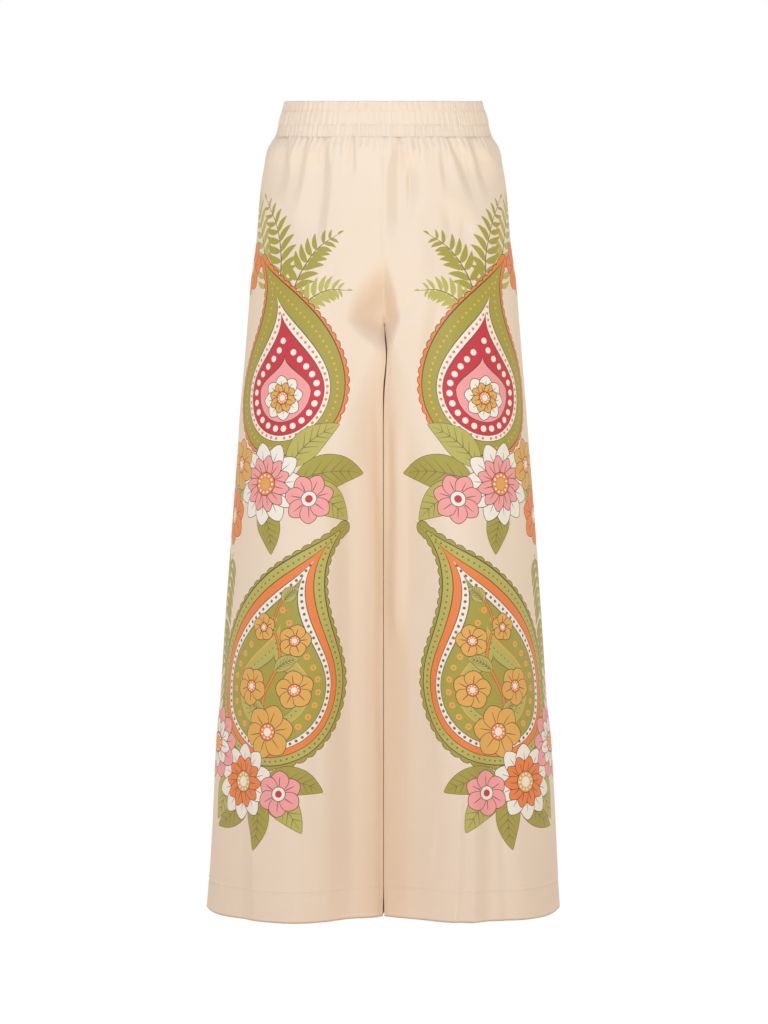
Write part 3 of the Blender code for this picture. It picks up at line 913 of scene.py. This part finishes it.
def cut_panel(back):
    """A flat panel as points (reach, height), triangles and the ink of each triangle."""
    points = [Vector(p) for p in counterclockwise(panel_boundary(back))]
    regions = [list(range(len(points)))]
    layers = [0]
    for number, v in enumerate(panel_rows()):
        z = max(v, 2 * hem - v)
        reach = float(outline_length(np.array([z]), back)[0])
        spacing = 0.0009 if v > -0.06 else 0.0012 if v > -0.15 else 0.0022
        count = int(reach / spacing)
        shift = 0.25 if number % 2 else -0.25
        for k in range(1, count):
            points.append(Vector((reach * (k + shift) / count, v)))
        if v < crotch:
            edge = float(outline_length(np.array([z]), back, edge=False)[0])
            points += [Vector((edge + step, v)) for step in (-0.0009, -0.0003, 0.0003, 0.0009)]
    for ink, outline in print_shapes():
        start = len(points)
        points += [Vector((max(a, -0.02), z)) for a, z in counterclockwise(outline)]
        regions.append(list(range(start, len(points))))
        layers.append(inks.index(ink))
    flat_points, _, faces, _, _, parents = delaunay_2d_cdt(points, [], regions, 0, 1e-6, True)
    keep = [i for i, above in enumerate(parents) if 0 in above]
    flat_points = np.array([tuple(p) for p in flat_points])
    faces = np.array([faces[i] for i in keep])
    shades = np.array([layers[max(parents[i])] for i in keep])
    used = np.unique(faces)
    renumber = np.zeros(len(flat_points), int)
    renumber[used] = np.arange(len(used))
    return flat_points[used], renumber[faces], shades


def smooth_piece(name, places, faces, finishes):
    mesh = bpy.data.meshes.new(name)
    mesh.from_pydata(places.tolist(), [], faces)
    for material in finishes:
        mesh.materials.append(material)
    mesh.polygons.foreach_set("use_smooth", np.ones(len(faces), bool))
    mesh.update()
    piece = bpy.data.objects.new(name, mesh)
    bpy.context.collection.objects.link(piece)
    return piece


def cloth_piece(name, places, faces, weave, finishes):
    """A smooth piece of cloth; weave is where each point lies on the flat cloth."""
    piece = smooth_piece(name, places, faces.tolist(), finishes)
    corners = np.empty(len(piece.data.loops), np.int32)
    piece.data.loops.foreach_get("vertex_index", corners)
    uv = piece.data.uv_layers.new(name="cloth")
    uv.data.foreach_set("uv", weave[corners].ravel())
    return piece


def make_panel(name, node, cut, side, back):
    """One leg panel: its flat cut set in place, its triangles in the print's inks."""
    flat_points, faces, shades = cut
    reach, down = flat_points.T
    places = cloth_place(reach, down, side, back)
    height = np.maximum(down, 2 * hem - down)
    length = outline_length(height, back)
    # the way the cloth faces, from points a little to each side of this one
    d = 0.0004
    run = cloth_place(np.minimum(reach + d, length), down, side, back)
    run = run - cloth_place(np.maximum(reach - d, 0), down, side, back)
    rise = cloth_place(reach, down + d, side, back) - cloth_place(reach, down - d, side, back)
    normals = np.cross(run, rise)
    if (side > 0) != back:
        normals = -normals
        faces = faces[:, ::-1]
    normals /= np.maximum(np.linalg.norm(normals, axis=1), 1e-12)[:, None]
    piece = cloth_piece(name, places, faces, np.stack([reach, down + 1.1], 1), printed_silk)
    mesh = piece.data
    mesh.polygons.foreach_set("material_index", shades.astype(np.int32))
    # painted shade: the silk is tinted warmer and darker beside the other leg and in the hollow at
    # the fork, where shade falls, and darkest, a deep brown, on the edges that face each other in
    # the slot between the legs
    painted_shade = eased((0.137 - length + reach) / 0.055) * eased((crotch + 0.05 - down) / 0.12)
    drawn_in = fork_hollow(places[:, 0], places[:, 2]) / hollow_deep
    painted_shade = np.maximum(painted_shade, 0.9 * np.sqrt(drawn_in))
    corner = outline_length(height, back, edge=False)
    painted_shade += 3.0 * eased((reach - corner) / 0.004)
    mesh.attributes.new("painted_shade_between_legs", "FLOAT", "POINT").data.foreach_set("value", painted_shade)
    mesh.update()
    mesh.normals_split_custom_set_from_vertices(normals.tolist())
    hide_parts(node + "_upper", node + "_middle", node + "_lower")
    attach(piece, "root")


front_cut = cut_panel(False)
back_cut = cut_panel(True)
make_panel("front_left_leg", "leg_front_left", front_cut, 1, False)
make_panel("front_right_leg", "leg_front_right", front_cut, -1, False)
make_panel("back_left_leg", "leg_back_left", back_cut, 1, True)
make_panel("back_right_leg", "leg_back_right", back_cut, -1, True)

# ---- Waistband --------------------------------------------------------------
# One strip of the same silk folded over a wide elastic, stitched through twice
# into three channels and joined at the centre back. The elastic draws it into
# fine upright gathers, crossed by the two rows of stitches.

band_top = 0.0225
band_bottom = -0.0242
stitch_rows = (band_top - 0.0310, band_top - 0.0130)
band_puff = 0.00008
band_thick = 0.0030
band_round = 0.0006
band_edge = 0.0003
band_columns = 1560
gather_height = 0.0007
fine_height = 0.0013
fine_gathers = 400
fine_luck = random.Random(23)
fine_at = np.array(
    [4 * (k + fine_luck.uniform(-0.34, 0.34)) / fine_gathers for k in range(fine_gathers)]
)
fine_deep = np.array(
    [[fine_luck.uniform(0.0, 1.0) ** 1.5 for k in range(fine_gathers)] for channel in range(3)]
)


def band_profile():
    """Round the folded strip: height, how far in, puff of that channel, channel."""
    marks = (band_bottom,) + stitch_rows + (band_top,)
    profile = []
    for channel, (low, high) in enumerate(zip(marks, marks[1:])):
        for k in range(12):
            t = (1 - math.cos(math.pi * k / 12)) / 2
            puff = 1 - abs(2 * t - 1) ** 5
            profile.append((low + (high - low) * t, 0.0, puff, channel))
    # over the rounded top edge and down the inside
    for k in range(5):
        turn = math.pi * k / 4
        height = band_top - band_round + band_round * math.sin(turn)
        profile.append((height, band_thick / 2 * (1 - math.cos(turn)), 0.3, 2))
    for k in range(1, 7):
        profile.append((band_top - (band_top - band_bottom) * k / 6, band_thick, -0.25, 2))
    return profile


def fine_wave(quarter_way, channel):
    """The finer gathers between the main ones, some deep and some hardly there."""
    turned = np.mod(quarter_way, 4)
    near = np.searchsorted(fine_at, turned)
    k = np.clip(near, 1, fine_gathers - 1)
    t = np.clip((turned - fine_at[k - 1]) / (fine_at[k] - fine_at[k - 1]), 0, 1)
    return np.sin(math.pi * t) ** 0.8 * fine_deep[channel][k]


def band_place(way, height, inward, puff, channel):
    """Where the strip is, way being the quarters gone from the front centre to the left."""
    side = np.where(way < 2, 1, -1)
    quarter = np.where(way < 2, way, 4 - way)
    place = np.zeros((len(way), 3))
    for back in (False, True):
        here = (quarter > 1) == back
        if not here.any():
            continue
        heights = np.full(here.sum(), min(max(height, band_bottom), band_top))
        outline = panel_outline(heights, back)
        length = float(outline_length(heights[:1], back)[0])
        reach = np.abs(1 - quarter[here]) * length
        at, run = along_cloth(outline, reach, length, 0.002)
        around = way[here]
        drift = 0.012 * math.sin(channel * 2.1 + 1) * np.sin(around * 9 + channel)
        wave, k = gather_wave(around + drift, 0.25 * math.sin(channel * 3 + 0.5))
        patchy = 0.35 + 0.65 * eased(0.5 + 0.8 * np.sin(around * 5.3 + 2.4 * channel + 1))
        main = gather_height * gather_deep[k] * wave
        # drawn in more on the wearer's left, most of all in the lowest channel
        strong = 1 + (0.8 if channel == 0 else 0.35) * hump(around - 0.62, 0.30)
        fine = fine_height * fine_wave(around, channel) * patchy * strong
        if puff >= 0:
            out = band_puff * puff + (main + fine) * (0.72 + 0.28 * puff)
        else:
            out = -0.0006 * wave
        out = out - inward
        place[here, 0] = at[:, 0] + run[:, 1] * out
        y = at[:, 1] - run[:, 0] * out
        place[here, 1] = y if back else -y
    place[:, 0] *= side
    place[:, 2] = height
    return place


def make_waistband():
    """The folded strip as one ring, from the seam over the top and down the inside."""
    way = (np.arange(band_columns) + 0.5) * 4 / band_columns
    rows = [band_place(way, *row) for row in band_profile()]
    # the lower edge is rolled: it stands a little proud of the seam
    edge = band_place(way, band_bottom, -band_edge, 0.0, 0)
    under = band_place(way, band_bottom, band_thick / 2, -0.25, 0)
    edge[:, 2] += 0.0006
    under[:, 2] -= 0.0003
    rows = [under, edge] + rows
    column = np.arange(band_columns)
    after = (column + 1) % band_columns
    faces = []
    for r in range(len(rows) - 1):
        low = r * band_columns
        high = low + band_columns
        faces.append(np.stack([low + column, low + after, high + after, high + column], 1))
    u = np.tile(column * 0.96 / band_columns, len(rows))
    v = np.repeat(np.arange(len(rows)) * 0.0019, band_columns)
    piece = cloth_piece(
        "waistband_casing",
        np.concatenate(rows),
        np.concatenate(faces),
        np.stack([u, v], 1),
        printed_silk[:1],
    )
    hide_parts("waistband")
    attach(piece, "root")


make_waistband()


# Sewing thread: two rows of stitches through the waistband and one round each hem.
# Each stitch is a short raised bead of spun thread whose ends sink into the cloth.

stitch_long = 0.0021
stitch_pitch = 0.0027
thread_thick = 0.00034
thread_sides = 6

# along the stitch from end to end: how far, how thick, how high it stands
stitch_rings = (
    (0.00, 0.35, -0.5),
    (0.22, 1.00, 0.3),
    (0.50, 1.00, 0.6),
    (0.78, 1.00, 0.3),
    (1.00, 0.35, -0.5),
)


def thread_finish():
    """Spun polyester thread: a soft shine and the fine slanting lines of its plies."""
    material = bpy.data.materials.new("sewing_thread")
    material.use_nodes = True
    tree = material.node_tree
    place = add_node(tree, "TexCoord", {}).outputs["Object"]
    ply = add_node(
        tree, "TexWave", {"Vector": place, "Scale": 700.0}, bands_direction="DIAGONAL"
    )
    tint = mixed(tree, ply.outputs["Fac"], (0.80, 0.66, 0.54, 1), (0.66, 0.53, 0.42, 1))
    look = {"Base Color": tint, "Roughness": 0.5, "Sheen Weight": 0.15}
    set_sockets(tree, tree.nodes["Principled BSDF"], look)
    return material


sewing_thread = thread_finish()


def sew(name, starts, middles, ends, outward, slot):
    """One mesh of stitches, each from its start over its middle to its end."""
    count = len(starts)
    along = ends - starts
    along /= np.linalg.norm(along, axis=1)[:, None]
    outward = outward - along * (outward * along).sum(1)[:, None]
    outward /= np.linalg.norm(outward, axis=1)[:, None]
    across = np.cross(along, outward)
    rings = []
    for t, thick, lift in stitch_rings:
        middle = (1 - t) * (1 - 2 * t) * starts + 4 * t * (1 - t) * middles + t * (2 * t - 1) * ends
        middle = middle + outward * lift * thread_thick / 2
        for k in range(thread_sides):
            turn = 2 * math.pi * k / thread_sides
            round_about = across * math.cos(turn) + outward * math.sin(turn)
            rings.append(middle + round_about * thick * thread_thick / 2)
    places = np.stack(rings, 1).reshape(-1, 3)
    faces = []
    last_ring = len(stitch_rings) - 1
    for n in range(count):
        first = n * len(stitch_rings) * thread_sides
        for ring in range(last_ring):
            low = first + ring * thread_sides
            for k in range(thread_sides):
                after = (k + 1) % thread_sides
                high = low + thread_sides
                faces.append((low + k, low + after, high + after, high + k))
        faces.append(tuple(first + k for k in range(thread_sides))[::-1])
        faces.append(tuple(first + last_ring * thread_sides + k for k in range(thread_sides)))
    piece = smooth_piece(name, places, faces, [sewing_thread])
    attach(piece, "root")


def sew_waistband(name, height):
    """One row of stitches all round the waistband."""
    round_waist = 2 * sum(float(outline_length(np.array([height]), b)[0]) for b in (False, True))
    count = int(round_waist / stitch_pitch)
    middle = (np.arange(count) + 0.5) * 4 / count
    half = 4 * stitch_long / round_waist / 2
    channel = int(height > (stitch_rows[0] + stitch_rows[1]) / 2)
    spots = [band_place(middle + step, height, 0.0, 0.0, channel) for step in (-half, 0.0, half)]
    outward = spots[1] * (1, 1, 0) - np.array((0, 0.003, 0))
    sew(name, *spots, outward, "waistband_silk")


def sew_hem(name, side, back):
    """The row of stitches that holds one panel's hem."""
    reach = float(outline_length(np.array([stitching_height]), back)[0])
    clear = 0.004
    count = int((reach - 2 * clear) / stitch_pitch)
    middle = clear + (np.arange(count) + 0.5) * (reach - 2 * clear) / count
    heights = np.full(count, stitching_height)
    half = stitch_long / 2
    spots = [cloth_place(middle + step, heights, side, back) for step in (-half, 0.0, half)]
    rise = cloth_place(middle, heights + 0.001, side, back)
    rise = rise - cloth_place(middle, heights - 0.001, side, back)
    outward = np.cross(spots[2] - spots[0], rise)
    if (side > 0) != back:
        outward = -outward
    sew(name, *spots, outward, "leg_silk")


for number, height in enumerate(stitch_rows):
    sew_waistband(f"waistband_stitches_{number + 1}", height)
for side, word in ((1, "left"), (-1, "right")):
    for back, face in ((False, "front"), (True, "back")):
        sew_hem(f"hem_stitches_{face}_{word}", side, back)

# ---- Floor, light and camera --------------------------------------------------
# A plain pale floor well under the hems, soft lights over the front and the back, a
# warm glow from below that is white to look at, and a camera level with the waist.

floor_round = 0.9
floor_height = -1.30
glow_below = (1.71, 1.57, 1.35, 1)
glow_above = (0.0, 0.0, 0.0, 1)
white = (1, 1, 1, 1)


def white_to_look_at(tree, colour):
    """This colour of light, but white where the camera sees it."""
    seen = add_node(tree, "LightPath", {}).outputs["Is Camera Ray"]
    return mixed(tree, seen, colour, white)


floor_mesh = bpy.data.meshes.new("floor")
floor_points = []
for k in range(64):
    turn = math.pi * k / 32
    floor_points.append((floor_round * math.cos(turn), floor_round * math.sin(turn), floor_height))
floor_mesh.from_pydata(floor_points, [], [tuple(range(64))])
floor = bpy.data.objects.new("floor", floor_mesh)
bpy.context.collection.objects.link(floor)
floor_paint = bpy.data.materials.new("pale_floor")
floor_paint.use_nodes = True
paint = floor_paint.node_tree
set_sockets(
    paint,
    paint.nodes["Principled BSDF"],
    {
        "Base Color": (0.80, 0.72, 0.66, 1),
        "Roughness": 0.9,
        "Emission Color": white_to_look_at(paint, (0.54, 0.37, 0.26, 1)),
        "Emission Strength": 1.0,
    },
)
floor_mesh.materials.append(floor_paint)

world = bpy.data.worlds.new("studio")
bpy.context.scene.world = world
world.use_nodes = True
studio = world.node_tree
toward = add_node(studio, "TexCoord", {}).outputs["Generated"]
split = add_node(studio, "SeparateXYZ", {"Vector": toward}).outputs["Z"]
upward = add_node(studio, "MapRange", {"Value": split, "From Min": -1.0, "From Max": 1.0})
glow = mixed(studio, upward.outputs["Result"], glow_below, glow_above)
set_sockets(studio, studio.nodes["Background"], {"Color": white_to_look_at(studio, glow)})


def soft_light(name, place, target, size, power, colour):
    """A large lamp at this place, turned to its target."""
    lamp = bpy.data.lights.new(name, "AREA")
    lamp.shape = "RECTANGLE"
    lamp.size, lamp.size_y = size
    lamp.energy = power
    lamp.color = colour
    light = bpy.data.objects.new(name, lamp)
    light.location = place
    aim = Vector(target) - Vector(place)
    light.rotation_euler = aim.to_track_quat("-Z", "Y").to_euler()
    bpy.context.collection.objects.link(light)


thighs = (0, 0, -0.35)
soft_light("high_front", (0.0, -2.6, 1.6), thighs, (0.8, 0.8), 19.8, (0.90, 0.95, 1.0))
soft_light("front", (0.0, -3.0, 0.3), (0, 0, -0.40), (0.8, 1.2), 7.6, (0.78, 0.93, 1.0))
soft_light("front_left", (-1.6, -2.4, 0.9), thighs, (0.8, 1.0), 8.4, (0.62, 0.72, 1.0))
soft_light("front_right", (1.6, -2.4, 0.9), thighs, (0.8, 1.0), 3.6, (1.0, 0.88, 0.7))
soft_light("overhead", (0.0, -0.2, 2.4), (0, 0, 0), (1.2, 1.2), 22.0, (0.92, 0.94, 1.0))
soft_light("over_back", (0.0, 2.6, 1.6), thighs, (1.2, 0.8), 20.0, (0.90, 0.95, 1.0))

camera_far = 7.62
camera_side = 0.0007
camera_height = 0.017
aimed_at = -0.5174
looks_down = 0.537
frame_pixels = 1024
pixel = 0.00132
frame_tall = frame_pixels * pixel * math.cos(math.atan2(looks_down, camera_far)) ** 2
camera_data = bpy.data.cameras.new("camera")
camera_data.sensor_fit = "VERTICAL"
camera_data.sensor_height = 36
camera_data.lens = camera_far * camera_data.sensor_height / frame_tall
camera = bpy.data.objects.new("camera", camera_data)
camera.location = (camera_side, -camera_far, camera_height)
camera_aim = Vector((camera_side, 0.0, aimed_at)) - camera.location
camera.rotation_euler = camera_aim.to_track_quat("-Z", "Y").to_euler()
bpy.context.collection.objects.link(camera)
bpy.context.scene.camera = camera
bpy.context.scene.view_settings.view_transform = "Standard"
